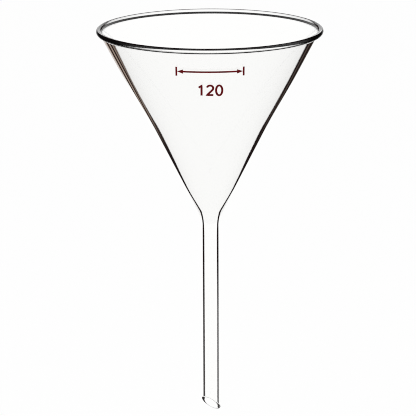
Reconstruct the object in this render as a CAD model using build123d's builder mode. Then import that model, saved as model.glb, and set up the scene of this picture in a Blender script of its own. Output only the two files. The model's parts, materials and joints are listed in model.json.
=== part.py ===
from build123d import *

import os
from math import cos, radians, sin, sqrt, tan

# Plain conical laboratory funnel, made from one piece of clear glass.
# The origin is on the axis at the top of the straight stem. The mouth faces +Z.

# Mouth and rim, in millimetres
mouth_diameter = 120.0
rim_bead_diameter = 2.8
rim_seam_radius = 1.5

# Cone, in degrees over both sides and in millimetres
cone_angle = 56.0
cone_wall = 1.7

# Neck, where the cone is drawn down into the stem
neck_bend_radius = 20.0

# Stem and its bevelled, fire-polished tip. The length is taken on the longer side, up to the corner before it is
# melted round, and the longer side is turned from +X towards +Y, in degrees
stem_diameter = 10.0
stem_wall = 1.4
stem_length = 104.3
tip_bevel_angle = 45.0
tip_turn_angle = 56.0
tip_polish_radius = 0.55
cut_overrun = 2.0

# Places in the funnel's half section, as (radius, height), worked out from the sizes above
half_angle = radians(cone_angle / 2)
stem_radius = stem_diameter / 2
bore_radius = stem_radius - stem_wall
bead_radius = rim_bead_diameter / 2
outward = Vector(cos(half_angle), -sin(half_angle))
upward = Vector(sin(half_angle), cos(half_angle))

# Corners of the neck, where the cone's faces would meet the stem's faces without the bend
neck_height = neck_bend_radius * tan(half_angle / 2)
neck_inset = stem_wall - cone_wall / cos(half_angle)
neck_outside = Vector(stem_radius, neck_height)
neck_inside = Vector(bore_radius, neck_height - neck_inset / tan(half_angle))

# The rim bead lies flush with the inside of the wall and stands out past its outside
bead_offset = cone_wall - bead_radius
bead_centre_radius = mouth_diameter / 2 - bead_radius
wall_radius = bead_centre_radius + bead_offset / cos(half_angle)
bead_height = neck_height + (wall_radius - stem_radius) / tan(half_angle)
bead_centre = Vector(bead_centre_radius, bead_height)
seam_drop = sqrt(bead_radius**2 - bead_offset**2)
rim_inside = bead_centre - outward * bead_radius
rim_top = bead_centre + upward * bead_radius
rim_seam = bead_centre + outward * bead_offset - upward * seam_drop

with BuildPart() as funnel:
    # Half section of the glass: stem, neck, cone and rim bead in one wall
    stem_end = -stem_length - cut_overrun
    with BuildSketch(Plane.XZ):
        with BuildLine():
            Polyline((stem_radius, stem_end), neck_outside, rim_seam)
            ThreePointArc(rim_seam, rim_top, rim_inside)
            Polyline(rim_inside, neck_inside, (bore_radius, stem_end), (stem_radius, stem_end))
        make_face()
        fillet(vertices().sort_by_distance(rim_seam)[0], radius=rim_seam_radius)
        fillet(vertices().sort_by_distance(neck_outside)[0], radius=neck_bend_radius)
        fillet(vertices().sort_by_distance(neck_inside)[0], radius=neck_bend_radius + stem_wall)
    revolve(axis=Axis.Z)

    # Tip ground at a slant, then melted round at both edges of the cut
    tip_slope = radians(tip_bevel_angle)
    tip_turn = radians(tip_turn_angle)
    longer_side = Vector(cos(tip_turn), sin(tip_turn), 0)
    tip_corner = longer_side * stem_radius - Vector(0, 0, stem_length)
    tip_cut = Plane(origin=tip_corner, z_dir=longer_side * sin(tip_slope) + Vector(0, 0, cos(tip_slope)))
    split(bisect_by=tip_cut, keep=Keep.TOP)
    fillet(faces().filter_by(GeomType.PLANE).edges(), radius=tip_polish_radius)

funnel.part.label = "funnel"

os.makedirs("parts", exist_ok=True)
export_step(funnel.part, "parts/funnel.step")
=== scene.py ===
import json
from math import atan, atan2, cos, pi, radians, sin, sqrt, tan

import bmesh
import bpy
from mathutils import Matrix, Vector


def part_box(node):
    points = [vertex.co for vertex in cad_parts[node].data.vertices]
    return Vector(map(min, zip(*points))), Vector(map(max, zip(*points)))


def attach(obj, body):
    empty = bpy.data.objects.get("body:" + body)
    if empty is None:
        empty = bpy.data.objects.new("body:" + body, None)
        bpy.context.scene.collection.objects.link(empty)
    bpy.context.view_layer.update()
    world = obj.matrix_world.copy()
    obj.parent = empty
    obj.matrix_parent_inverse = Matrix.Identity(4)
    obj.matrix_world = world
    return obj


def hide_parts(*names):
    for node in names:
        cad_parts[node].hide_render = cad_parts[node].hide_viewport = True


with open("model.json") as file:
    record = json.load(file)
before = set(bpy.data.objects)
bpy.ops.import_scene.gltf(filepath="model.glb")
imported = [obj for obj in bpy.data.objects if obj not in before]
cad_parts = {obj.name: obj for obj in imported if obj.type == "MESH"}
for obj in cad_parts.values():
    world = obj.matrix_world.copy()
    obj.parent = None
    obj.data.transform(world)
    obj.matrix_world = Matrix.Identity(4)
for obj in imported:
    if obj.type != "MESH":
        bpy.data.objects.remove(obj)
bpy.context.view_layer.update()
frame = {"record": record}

# The glass funnel.
# One piece of clear laboratory glass: a cone with a rolled rim bead, drawn down through a bent neck into
# a tube, whose tip is ground at a slant and melted round again in the flame.
cone_half_angle = radians(28.0)
cone_wall = 0.0017
bead_radius = 0.0014
seam_radius = 0.0015
neck_bend_radius = 0.020
stem_length = 0.1043
tip_slant = radians(45.0)
tip_bearing = radians(56.0)
tip_polish = 0.00055

glass_low, glass_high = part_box("funnel")
mount_sizes = {mount["name"]: mount["dims"] for mount in frame["record"]["mounts"]}
mouth_radius = glass_high.x
stem_radius = mount_sizes["stem"]["r_mm"] / 1000
bore_radius = mount_sizes["stem_bore"]["r_mm"] / 1000

# How many steps the mesh takes round the axis and along each stretch of the section
turns = 560
bend_steps = 14
seam_steps = 8
bead_steps = 36
lip_steps = 8
stem_steps = 12
cone_steps = 20
tip_face_steps = 4


def arc(centre, radius, start, end, steps):
    """Points of a round stretch of the section, both ends included."""
    angles = [start + (end - start) * step / steps for step in range(steps + 1)]
    return [(centre[0] + radius * cos(angle), centre[1] + radius * sin(angle)) for angle in angles]


def run(start, end, steps):
    """Points inside a straight stretch of the section, closer together near its ends."""
    shares = [(1 - cos(pi * step / steps)) / 2 for step in range(1, steps)]
    out = end[0] - start[0]
    up = end[1] - start[1]
    return [(start[0] + out * share, start[1] + up * share) for share in shares]


# Neck bends: the outer starts at the origin's height, and the inner is tangent to the inside of the cone
inner_bend_radius = neck_bend_radius + stem_radius - bore_radius
neck_height = neck_bend_radius * tan(cone_half_angle / 2)
neck_inset = stem_radius - bore_radius - cone_wall / cos(cone_half_angle)
inner_corner_height = neck_height - neck_inset / tan(cone_half_angle)
inner_bend_height = inner_corner_height - inner_bend_radius * tan(cone_half_angle / 2)
outer_bend = (stem_radius + neck_bend_radius, 0.0)
inner_bend = (bore_radius + inner_bend_radius, inner_bend_height)
outer_neck = arc(outer_bend, neck_bend_radius, pi, pi - cone_half_angle, bend_steps)
inner_neck = arc(inner_bend, inner_bend_radius, pi - cone_half_angle, pi, bend_steps)

# Rim bead, flush with the inside of the wall, and the melted seam under it
bead_offset = cone_wall - bead_radius
bead_centre_radius = mouth_radius - bead_radius
wall_radius = bead_centre_radius + bead_offset / cos(cone_half_angle)
bead_height = neck_height + (wall_radius - stem_radius) / tan(cone_half_angle)
seam_out = bead_offset + seam_radius
seam_down = sqrt((bead_radius + seam_radius) ** 2 - seam_out**2)
seam_turn = atan2(-seam_down, seam_out)
seam_centre = (
    bead_centre_radius + seam_out * cos(cone_half_angle) - seam_down * sin(cone_half_angle),
    bead_height - seam_out * sin(cone_half_angle) - seam_down * cos(cone_half_angle),
)
seam_ends = (pi - cone_half_angle, pi + seam_turn - cone_half_angle)
seam = arc(seam_centre, seam_radius, *seam_ends, seam_steps)
bead_ends = (seam_turn - cone_half_angle, pi - cone_half_angle)
bead = arc((bead_centre_radius, bead_height), bead_radius, *bead_ends, bead_steps)

# Steps of the seam and of the bead at which the next stretch starts
crease_start = 6
flank_start = 8
top_start = 22
shoulder_start = 31
inside_start = 33


def lip(angle, centre_radius, wall_side):
    """Points of one melted edge of the slanted tip, at one turn, from the ground face round to the wall."""
    fall = tan(tip_slant) * cos(angle - tip_bearing)
    cut_height = stem_radius * tan(tip_slant) - stem_length - fall * centre_radius
    lip_centre = (centre_radius, cut_height + tip_polish * sqrt(1 + fall**2))
    return arc(lip_centre, tip_polish, 3 * pi / 2 - atan(fall), wall_side, lip_steps)


def section(angle):
    """The stretches of the glass's section at one turn, as (radius, height), once round the wall."""
    outer_lip = lip(angle, stem_radius - tip_polish, 2 * pi)
    inner_lip = lip(angle, bore_radius + tip_polish, pi)[::-1]
    return {
        "outer_lip": outer_lip[:-1],
        "outer_stem": [outer_lip[-1], *run(outer_lip[-1], outer_neck[0], stem_steps)],
        "outer_neck": outer_neck,
        "outer_cone": [*run(outer_neck[-1], seam[0], cone_steps), seam[0]],
        "seam": seam[1:crease_start],
        "crease_painted_dark": [*seam[crease_start:], *bead[1:flank_start]],
        "bead_flank": bead[flank_start:top_start],
        "bead_top": bead[top_start:shoulder_start],
        "bead_shoulder": bead[shoulder_start:inside_start],
        "bead_inside": bead[inside_start:],
        "inner_cone": run(bead[-1], inner_neck[0], cone_steps),
        "inner_neck": inner_neck,
        "bore": run(inner_neck[-1], inner_lip[0], stem_steps),
        "inner_lip": inner_lip,
        "tip_face": run(inner_lip[-1], outer_lip[0], tip_face_steps),
    }


angles = [2 * pi * turn / turns for turn in range(turns)]
sections = [section(angle) for angle in angles]
stretch_of_ring = [name for name, stretch in sections[0].items() for point in stretch]
rings = list(zip(*[[point for stretch in cut.values() for point in stretch] for cut in sections]))
glass_points = []
for ring in rings:
    for angle, (radius, level) in zip(angles, ring):
        glass_points.append((radius * cos(angle), radius * sin(angle), level))

glass_faces = []
for ring in range(len(rings)):
    above = (ring + 1) % len(rings)
    for turn in range(turns):
        beside = (turn + 1) % turns
        glass_faces.append(
            (
                ring * turns + turn,
                ring * turns + beside,
                above * turns + beside,
                above * turns + turn,
            )
        )

glass_mesh = bpy.data.meshes.new("glass_funnel")
glass_mesh.from_pydata(glass_points, [], glass_faces)
glass_mesh.shade_smooth()

# Marks on the mesh that tell the material which stretch of the wall it is on
stretches_of_mark = {
    "outer_wall": ("outer_stem", "outer_neck", "outer_cone"),
    # The crease under the bead is painted dark in every view: a painted shade line
    "crease_painted_dark": ("crease_painted_dark",),
    "bead_flank": ("bead_flank",),
    "bead_top": ("bead_top",),
    "bead_inside": ("bead_inside",),
    "bore": ("inner_neck", "bore"),
    "lips": ("outer_lip", "inner_lip", "tip_face"),
}
for mark, stretches in stretches_of_mark.items():
    marked = [float(name in stretches) for name in stretch_of_ring for angle in angles]
    glass_mesh.attributes.new(mark, "FLOAT", "POINT").data.foreach_set("value", marked)
glass_funnel = bpy.data.objects.new("glass_funnel", glass_mesh)
bpy.context.collection.objects.link(glass_funnel)


class Shade:
    """One output of a shader tree. Its operators add Math nodes, and node() adds any other node."""

    def __init__(self, tree, socket=None):
        self.tree = tree
        self.socket = socket

    def node(self, kind, settings, inputs, output=0):
        """Adds a node, sets its settings, fills its sockets with numbers or links, and gives one output."""
        made = self.tree.nodes.new(kind)
        for name, setting in settings.items():
            setattr(made, name, setting)
        for name, value in inputs.items():
            if isinstance(value, Shade):
                self.tree.links.new(value.socket, made.inputs[name])
            else:
                made.inputs[name].default_value = value
        return Shade(self.tree, made.outputs[output] if made.outputs else None)

    def math(self, operation, first, second=0.0):
        return self.node("ShaderNodeMath", {"operation": operation}, {0: first, 1: second})

    def __add__(self, other):
        return self.math("ADD", self, other)

    __radd__ = __add__

    def __sub__(self, other):
        return self.math("SUBTRACT", self, other)

    def __rsub__(self, other):
        return self.math("SUBTRACT", other, self)

    def __mul__(self, other):
        return self.math("MULTIPLY", self, other)

    __rmul__ = __mul__

    def __gt__(self, other):
        return self.math("GREATER_THAN", self, other)

    def step(self, low, high):
        """0 below low, 1 above high, and a soft rise between them."""
        settings = {"interpolation_type": "SMOOTHSTEP"}
        return self.node("ShaderNodeMapRange", settings, {"Value": self, "From Min": low, "From Max": high})


def new_material(name):
    """An empty material and the Shade that its nodes start from."""
    material = bpy.data.materials.new(name)
    material.use_nodes = True
    material.node_tree.nodes.clear()
    return material, Shade(material.node_tree)


def show(shade, surface):
    """Makes a shader the tree's surface."""
    shade.node("ShaderNodeOutputMaterial", {}, {"Surface": surface})


# Places on the glass: its height, and the spoke from the axis, which points to -Y at the print
# How many stripes round the axis break up the painted light streaks
painted_light_stripe_count = 72
clear_glass, shade = new_material("clear_glass")
place = shade.node("ShaderNodeTexCoord", {}, {}, "Object")
height = shade.node("ShaderNodeSeparateXYZ", {}, {0: place}, "Z")
across = shade.node(
    "ShaderNodeVectorMath",
    {"operation": "MULTIPLY"},
    {0: place, 1: (1.0, 1.0, 0.0)},
    "Vector",
)
spoke = shade.node("ShaderNodeVectorMath", {"operation": "NORMALIZE"}, {0: across}, "Vector")
spoke_x = shade.node("ShaderNodeSeparateXYZ", {}, {0: spoke}, "X")
spoke_y = shade.node("ShaderNodeSeparateXYZ", {}, {0: spoke}, "Y")
bearing = shade.math("ARCTAN2", spoke_y, spoke_x)
on_left = 1 - spoke_x.step(-0.95, -0.55)
on_right_front = spoke_x.step(0.35, 0.65) * (1 - spoke_y.step(-0.4, -0.1))

# Traces of the making: slight waves along the draw, and fine smears on the polish. Stripes round the axis
# break up the painted light streaks of the edge lines
drawn = shade.node("ShaderNodeMapping", {}, {"Vector": place, "Scale": (1.0, 1.0, 0.2)})
cords = shade.node("ShaderNodeTexNoise", {}, {"Vector": drawn, "Scale": 90.0, "Detail": 2.0})
waves = shade.node("ShaderNodeBump", {}, {"Strength": 0.02, "Distance": 0.00008, "Height": cords})
wander = shade.node("ShaderNodeTexNoise", {}, {"Vector": spoke, "Scale": 14.0, "Detail": 3.0})
painted_light_stripes = 0.5 + 0.5 * shade.math("SINE", painted_light_stripe_count * bearing + 4 * wander)
smears = shade.node("ShaderNodeTexNoise", {}, {"Vector": place, "Scale": 45.0, "Detail": 4.0})

# A painted dark band stands in for the dark surroundings that the wall bends to the eye where it is looked
# along: it lies between two slants of view, and both change with the height
line_softness = 0.015
square_on = 1 - shade.node("ShaderNodeLayerWeight", {}, {"Blend": 0.5}, "Facing")
on = {
    mark: shade.node("ShaderNodeAttribute", {"attribute_name": mark}, {}, "Fac") for mark in stretches_of_mark
}
outer_slant = 0.51 - 0.243 * height.step(0.0, 0.025) - 0.10 * height.step(0.055, 0.088)
mid_cone = height.step(0.028, 0.042) * (1 - height.step(0.055, 0.068))
even_slant = 0.72 - 0.345 * height.step(-0.004, 0.0235) - 0.06 * height.step(0.052, 0.088)
inner_slant = even_slant + 0.018 * mid_cone + 0.034 * on_left * height.step(0.070, 0.106)
past_outer = square_on - outer_slant
past_inner = square_on - inner_slant
inside_outer = past_outer.step(-line_softness, line_softness)
painted_wall_band = inside_outer * (1 - past_inner.step(-line_softness, line_softness))
lower_stem = 1 - height.step(-0.055, -0.015)
painted_wall_line = painted_wall_band * (1 - lower_stem * (0.06 + 0.14 * spoke_x.step(-0.2, 0.2)))

# The bead, the bore and the melted edges of the tip get painted dark lines of their own: painted shade for
# the dark surroundings that they bend to the eye
flank_clear = square_on.step(0.55 - 0.10 * on_right_front, 0.95 - 0.22 * on_right_front)
painted_flank_line = on["bead_flank"] * (0.48 + 0.52 * square_on.step(0.10, 0.25)) * (1 - flank_clear)
painted_top_line = on["bead_top"] * square_on.step(0.22, 0.34) * (1 - square_on.step(0.60, 0.95))
painted_bead_line = painted_flank_line + painted_top_line + on["bead_inside"] * (1 - square_on.step(0.25, 0.45))
painted_bore_line = on["bore"] * (1 - square_on.step(0.12, 0.25))
painted_tip_line = on["lips"] * (1 - square_on.step(0.25, 0.38))
painted_lines = shade.math("MAXIMUM", on["outer_wall"] * painted_wall_line, painted_bead_line + painted_bore_line + painted_tip_line)

# The painted lines on the upper cone are streaked with painted beige light, most of all on the left, where
# they have a painted pale margin too
painted_pale_strength = 0.54
painted_light_side = on["outer_wall"] * on_left * height.step(0.075, 0.092)
painted_pale_margin = painted_light_side * past_outer.step(-0.085, -0.060) * (1 - inside_outer)
light_streak_side = on["outer_wall"] * (0.18 + 0.82 * on_left) * height.step(0.042, 0.080)
painted_light_streaks = light_streak_side * painted_light_stripes.step(0.1, 0.9) * (1 - 0.55 * past_inner.step(-0.045, -0.020))
# The painted shade is near black, darkest on the crease and the bead's flank, and the painted light streaks
# are beige
painted_shade_colour = shade.node(
    "ShaderNodeMix",
    {"data_type": "RGBA"},
    {
        "Factor": on["crease_painted_dark"] + on["bead_flank"],
        "A": (0.014, 0.009, 0.009, 1.0),
        "B": (0.0035, 0.0030, 0.0030, 1.0),
    },
    "Result",
)
painted_edge_colour = shade.node(
    "ShaderNodeMix",
    {"data_type": "RGBA"},
    {
        "Factor": shade.math("MAXIMUM", painted_light_streaks, painted_pale_margin),
        "A": painted_shade_colour,
        "B": (0.34, 0.26, 0.21, 1.0),
    },
    "Result",
)

# The painted lines are left out of light that the glass mirrors, so that it shows no second rim. The crease
# under the bead is painted dark in every view, as a painted shade line
mirrored = shade.node("ShaderNodeLightPath", {}, {}, "Glossy Depth") > 0.5
painted_edge_share = shade.math("MAXIMUM", painted_lines + painted_pale_strength * painted_pale_margin, on["crease_painted_dark"]) * (1 - mirrored)
clear = shade.node(
    "ShaderNodeBsdfPrincipled",
    {},
    {
        "Base Color": (0.995, 0.995, 0.989, 1.0),
        "Roughness": 0.012 * smears.step(0.5, 0.75),
        "IOR": 1.474,
        "Transmission Weight": 1.0,
        "Normal": waves,
    },
)
# An opaque matt shader that carries the painted shade and painted light of the lines
painted_edge_shader = shade.node(
    "ShaderNodeBsdfPrincipled",
    {},
    {
        "Base Color": painted_edge_colour,
        "Roughness": 0.6,
        "Specular IOR Level": 0.0,
    },
)
show(shade, shade.node("ShaderNodeMixShader", {}, {0: painted_edge_share, 1: clear, 2: painted_edge_shader}))
glass_mesh.materials.append(clear_glass)
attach(glass_funnel, "root")
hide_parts("funnel")

# The size mark.
# A line across the mouth with its arrowheads, over the mouth's width in plain figures. It is printed on the
# front of the cone in red-brown enamel, a few hundredths of a millimetre thick, and fired on.
line_height = 0.0945
half_line = 0.0172
line_width = 0.00095
head_length = 0.0032
head_width = 0.0024
head_tip_width = 0.00008
tick_place = 0.0176
tick_rise = 0.0026
figures_height = 0.0808
figure_pitch = 0.0047
figure_width = 0.00110
sharpest_mitre = 0.62
print_lift = 0.00001
print_thickness = 0.00004


def pen_stroke(ink, path, widths, closed=False):
    """Adds one flat stroke of ink along a path, with its corners cut to a mitre."""
    ribs = []
    for number, (here, width) in enumerate(zip(path, widths)):
        before = path[number - 1] if number or closed else here
        after = path[(number + 1) % len(path)] if number + 1 < len(path) or closed else here
        came = (here - before if before != here else after - here).normalized()
        goes = (after - here if after != here else here - before).normalized()
        along = (came + goes).normalized()
        reach = width / 2 / max(sharpest_mitre, along.dot(goes))
        side = Vector((-along.y, along.x, 0.0)) * reach
        ribs.append((ink.verts.new(here + side), ink.verts.new(here - side)))
    for rib, next_rib in zip(ribs, ribs[1:] + ribs[:1] if closed else ribs[1:]):
        ink.faces.new((rib[0], rib[1], next_rib[1], next_rib[0]))


def even_steps(corners, step=0.0004):
    """A path through its corners, with points on it about one step apart."""
    path = []
    for here, after in zip(corners, corners[1:]):
        count = max(1, round((after - here).length / step))
        path.extend(here.lerp(after, share / count) for share in range(count))
    return [*path, corners[-1]]


# The line with its two heads, and the tick that each head points to
ink = bmesh.new()
stop_places = (-half_line, head_length - half_line, half_line - head_length, half_line)
stops = [Vector((x, line_height, 0.0)) for x in stop_places]
left_head, shaft, right_head = [even_steps([start, end]) for start, end in zip(stops, stops[1:])]
opening = [head_tip_width + head_width * number / (len(left_head) - 1) for number in range(len(left_head))]
pen_stroke(ink, left_head, opening)
pen_stroke(ink, shaft, [line_width] * len(shaft))
pen_stroke(ink, right_head, opening[::-1])
for tick_x in (-tick_place, tick_place):
    tick_ends = [Vector((tick_x, line_height + rise, 0.0)) for rise in (-tick_rise, tick_rise)]
    tick = even_steps(tick_ends)
    pen_stroke(ink, tick, [line_width] * len(tick))

# The figures, each from its own base line up, with x = 0 near its middle
round_half_width = 0.0016
crown_height = 0.0043
nought_middle = 0.0030
nought_half_height = 0.0029
one_corners = ((-0.0012, 0.0046), (0.0003, 0.0057), (0.0003, 0.0))
figure_one = even_steps([Vector((x, y, 0.0)) for x, y in one_corners])
crown_turns = [radians(165 - 205 * number / 16) for number in range(17)]
crown = [
    Vector((round_half_width * cos(turn), crown_height + round_half_width * sin(turn), 0.0))
    for turn in crown_turns
]
foot = even_steps([crown[-1], Vector((-0.00155, 0.0003, 0.0)), Vector((0.0017, 0.0003, 0.0))])
figure_two = [*crown[:-1], *foot]
loop_turns = [2 * pi * number / 36 for number in range(36)]
nought = [
    Vector((round_half_width * cos(turn), nought_middle + nought_half_height * sin(turn), 0.0))
    for turn in loop_turns
]
for number, (figure, closed) in enumerate(((figure_one, False), (figure_two, False), (nought, True))):
    shift = Vector(((number - 1) * figure_pitch, figures_height, 0.0))
    pen_stroke(ink, [shift + point for point in figure], [figure_width] * len(figure), closed)

# The flat print gets its thickness, and is then wrapped round the cone
bmesh.ops.recalc_face_normals(ink, faces=ink.faces)
bmesh.ops.solidify(ink, geom=ink.faces[:], thickness=print_thickness)
lowest = min(point.co.z for point in ink.verts)
for point in ink.verts:
    lift = print_lift + point.co.z - lowest
    cone_radius = stem_radius + (point.co.y - neck_height) * tan(cone_half_angle)
    turn = point.co.x / cone_radius - pi / 2
    out = cone_radius + lift * cos(cone_half_angle)
    point.co = (out * cos(turn), out * sin(turn), point.co.y - lift * sin(cone_half_angle))
bmesh.ops.recalc_face_normals(ink, faces=ink.faces)
mark_mesh = bpy.data.meshes.new("size_mark")
ink.to_mesh(mark_mesh)
ink.free()
size_mark = bpy.data.objects.new("size_mark", mark_mesh)
bpy.context.collection.objects.link(size_mark)

# Red-brown enamel with fine grains, and patches where it is a little thinner
fired_enamel, shade = new_material("fired_enamel")
place = shade.node("ShaderNodeTexCoord", {}, {}, "Object")
grains = shade.node("ShaderNodeTexNoise", {}, {"Vector": place, "Scale": 3200.0, "Detail": 3.0})
patches = shade.node("ShaderNodeTexNoise", {}, {"Vector": place, "Scale": 420.0, "Detail": 2.0})
enamel_colour = shade.node(
    "ShaderNodeMix",
    {"data_type": "RGBA"},
    {
        "Factor": 0.6 * patches.step(0.35, 0.7) + 0.4 * grains.step(0.4, 0.7),
        "A": (0.108, 0.0004, 0.0018, 1.0),
        "B": (0.155, 0.0016, 0.0046, 1.0),
    },
    "Result",
)
pinholes = shade.node("ShaderNodeBump", {}, {"Strength": 0.3, "Distance": 0.00002, "Height": grains})
enamel = shade.node(
    "ShaderNodeBsdfPrincipled",
    {},
    {
        "Base Color": enamel_colour,
        "Roughness": 0.45 + 0.2 * grains,
        "Specular IOR Level": 0.08,
        "Normal": pinholes,
    },
)
show(shade, enamel)
mark_mesh.materials.append(fired_enamel)
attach(size_mark, "root")

# The studio floor.
# A pale sheet below the funnel, which is shown held up in the air. Light that the glass bends or mirrors
# passes it and meets the white surround, and the eye sees it nearly white, with a faint shadow on it.
floor_drop = 0.08
floor_half = 8.0
floor_whiteness = 0.94
floor_height = glass_low.z - floor_drop
floor_corners = [(-1, -1), (1, -1), (1, 1), (-1, 1)]
floor_points = [(x * floor_half, y * floor_half, floor_height) for x, y in floor_corners]
floor_mesh = bpy.data.meshes.new("floor")
floor_mesh.from_pydata(floor_points, [], [(0, 1, 2, 3)])
floor = bpy.data.objects.new("floor", floor_mesh)
bpy.context.collection.objects.link(floor)
floor.visible_glossy = False
floor.visible_transmission = False

pale_floor, shade = new_material("pale_floor")
seen = shade.node("ShaderNodeLightPath", {}, {}, "Is Camera Ray")
matt = shade.node("ShaderNodeBsdfDiffuse", {}, {"Color": (0.95, 0.95, 0.95, 1.0)})
white = shade.node("ShaderNodeEmission", {}, {"Strength": 1.0})
show(shade, shade.node("ShaderNodeMixShader", {}, {0: floor_whiteness * seen, 1: matt, 2: white}))
floor_mesh.materials.append(pale_floor)

# The studio light.
# A white light tent all round, and a soft box at the front left. For light that the glass mirrors straight
# to the eye, the tent is dark from about 28 degrees below level downwards.
tent = bpy.data.worlds.new("light_tent")
tent.use_nodes = True
tent.node_tree.nodes.clear()
bpy.context.scene.world = tent
shade = Shade(tent.node_tree)
way = shade.node("ShaderNodeTexCoord", {}, {}, "Generated")
rise = shade.node("ShaderNodeSeparateXYZ", {}, {0: way}, "Z")
bounces = shade.node("ShaderNodeLightPath", {}, {}, "Glossy Depth")
bends = shade.node("ShaderNodeLightPath", {}, {}, "Transmission Depth")
lights_matt = shade.node("ShaderNodeLightPath", {}, {}, "Is Diffuse Ray")
dark_below = (0.8 + 0.2 * rise.step(-0.88, -0.50)) * (1 - rise.step(-0.50, -0.46))
dark = (bounces > 0.5) * (1 - (bends > 0.5)) * dark_below
tent_colour = shade.node(
    "ShaderNodeMix",
    {"data_type": "RGBA"},
    {"Factor": dark, "A": (1.0, 1.0, 1.0, 1.0), "B": (0.022, 0.012, 0.011, 1.0)},
    "Result",
)
background = shade.node(
    "ShaderNodeBackground",
    {},
    {"Color": tent_colour, "Strength": 1 - 0.2 * lights_matt},
)
shade.node("ShaderNodeOutputWorld", {}, {"Surface": background})

soft_box = bpy.data.lights.new("soft_box", "AREA")
soft_box.size = 0.8
soft_box.energy = 7.0
lamp = bpy.data.objects.new("soft_box", soft_box)
lamp.location = (-0.8, -0.9, 1.3)
lamp.rotation_euler = (-lamp.location).to_track_quat("-Z", "Y").to_euler()
lamp.visible_glossy = False
lamp.visible_transmission = False
bpy.context.collection.objects.link(lamp)

# The camera.
# It looks a little down on the funnel from the side with the print, 1.6 metres away, and is turned a quarter
# of a degree, as the photograph is.
lens_distance = 1.6
lens_elevation = radians(13.83)
lens_roll = radians(-0.24)
aim = Vector((-0.00132, 0.0, 0.01000))
photo_camera = bpy.data.cameras.new("photo_camera")
photo_camera.sensor_width = 36.0
photo_camera.lens = 258.6
camera = bpy.data.objects.new("photo_camera", photo_camera)
away = Vector((0.0, -cos(lens_elevation), sin(lens_elevation)))
turned = (-away).to_track_quat("-Z", "Y").to_matrix() @ Matrix.Rotation(lens_roll, 3, "Z")
camera.matrix_world = Matrix.Translation(aim + away * lens_distance) @ turned.to_4x4()
bpy.context.collection.objects.link(camera)

scene = bpy.context.scene
scene.camera = camera
scene.view_settings.view_transform = "Standard"
scene.cycles.filter_width = 1.0
scene.cycles.max_bounces = 32
scene.cycles.glossy_bounces = 24
scene.cycles.transmission_bounces = 32
